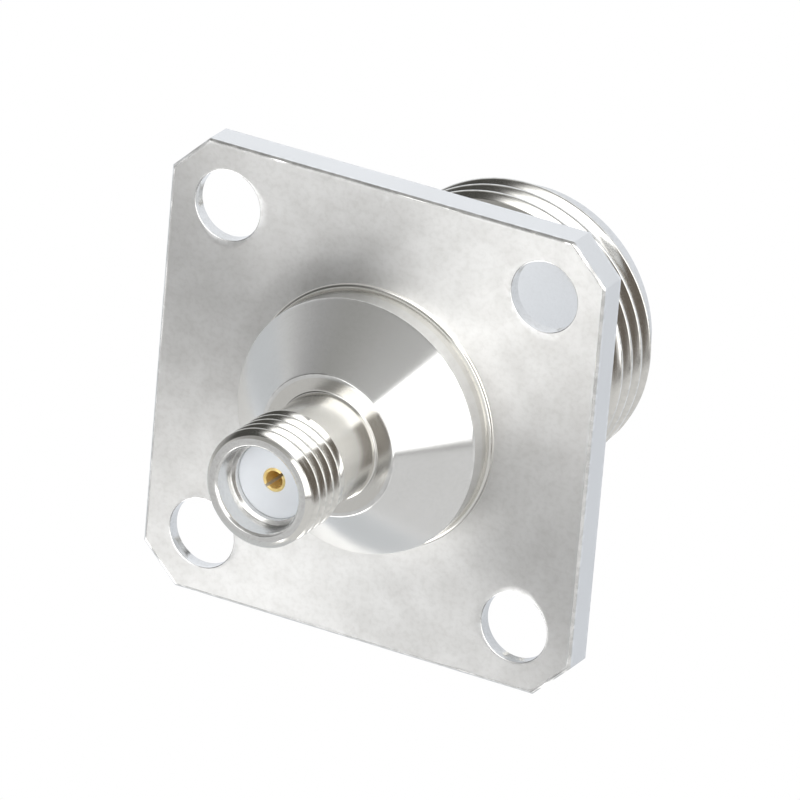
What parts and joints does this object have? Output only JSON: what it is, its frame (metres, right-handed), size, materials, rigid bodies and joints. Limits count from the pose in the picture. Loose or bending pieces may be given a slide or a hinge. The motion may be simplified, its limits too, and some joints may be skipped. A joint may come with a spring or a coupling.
{
  "type": "n to sma adapter",
  "caption": "Coaxial adapter with a large threaded jack and a small threaded jack on opposite sides of a square panel flange, with a cone between the flange and the small jack.",
  "frame": {"origin": "centre of the large jack's front end, on which the adapter stands", "axes": "+Z along the connector axis towards the small jack, X and Y along the flange's sides"},
  "size_m": [0.025, 0.025, 0.0294],
  "materials": {
    "nickel_plate": "nickel plated, satin",
    "gold_plate": "gold plated, polished",
    "insulator": "smooth white"
  },
  "bodies": {
    "root": {"body": "nickel_plate", "contact_sleeve": "nickel_plate", "large_insulator": "insulator", "large_contact": "gold_plate", "small_insulator": "insulator", "small_contact": "gold_plate"}
  },
  "joints": []
}
